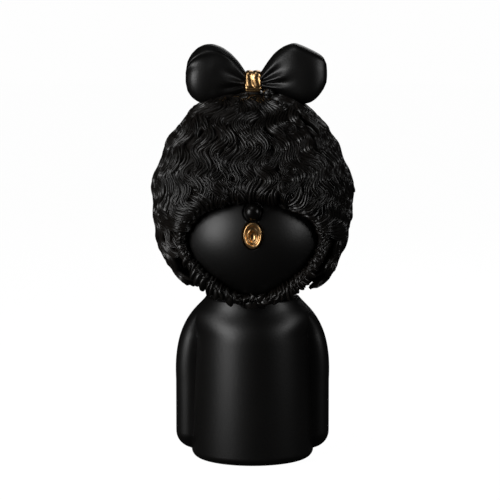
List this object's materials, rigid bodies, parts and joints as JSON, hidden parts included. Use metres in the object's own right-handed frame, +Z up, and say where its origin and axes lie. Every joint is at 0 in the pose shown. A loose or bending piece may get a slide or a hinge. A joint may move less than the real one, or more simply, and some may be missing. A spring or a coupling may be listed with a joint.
{
  "type": "art toy figurine",
  "caption": "Black hollow vinyl figurine with a bell-shaped body, a turning head of sculpted curly hair round a plain domed face, and a bow with a gold knot.",
  "frame": {"origin": "centre of the base pad's underside, on the body's axis", "axes": "+Z up along the body and neck axis, the face looks along -Y, +X to the figure's left"},
  "size_m": [0.117, 0.1113, 0.2407],
  "materials": {
    "black_vinyl": "satin black, soft even sheen",
    "black_abs": "moulded, fine texture",
    "gold": "warm polished gold, darker in the hollows",
    "plated_steel": "bright zinc",
    "black_rubber": "matte",
    "ballast_iron": "raw casting"
  },
  "bodies": {
    "body": {"body_shell": "black_vinyl", "base_pad": "black_rubber", "base_plate": "black_abs", "ballast": "ballast_iron", "ballast_screw_1": "plated_steel", "ballast_screw_2": "plated_steel", "ballast_screw_3": "plated_steel", "neck_bush": "black_abs", "friction_ring": "black_rubber"},
    "head": {"hair_shell": "black_vinyl", "face_shell": "black_vinyl", "nose_bead": "black_vinyl", "mouth_lips": "gold", "mouth_clip": "plated_steel", "bow_loop_left": "black_vinyl", "bow_loop_right": "black_vinyl", "bow_knot": "gold", "bow_stem": "black_abs", "bow_washer": "plated_steel", "bow_nut": "plated_steel", "neck_spindle": "black_abs", "neck_washer": "plated_steel", "neck_screw": "plated_steel"}
  },
  "joints": [
    {"name": "head_turn", "type": "hinge", "parent": "body", "child": "head", "pos_m": [0, 0, 0.093], "axis": [0, 0, 1], "continuous": true}
  ]
}
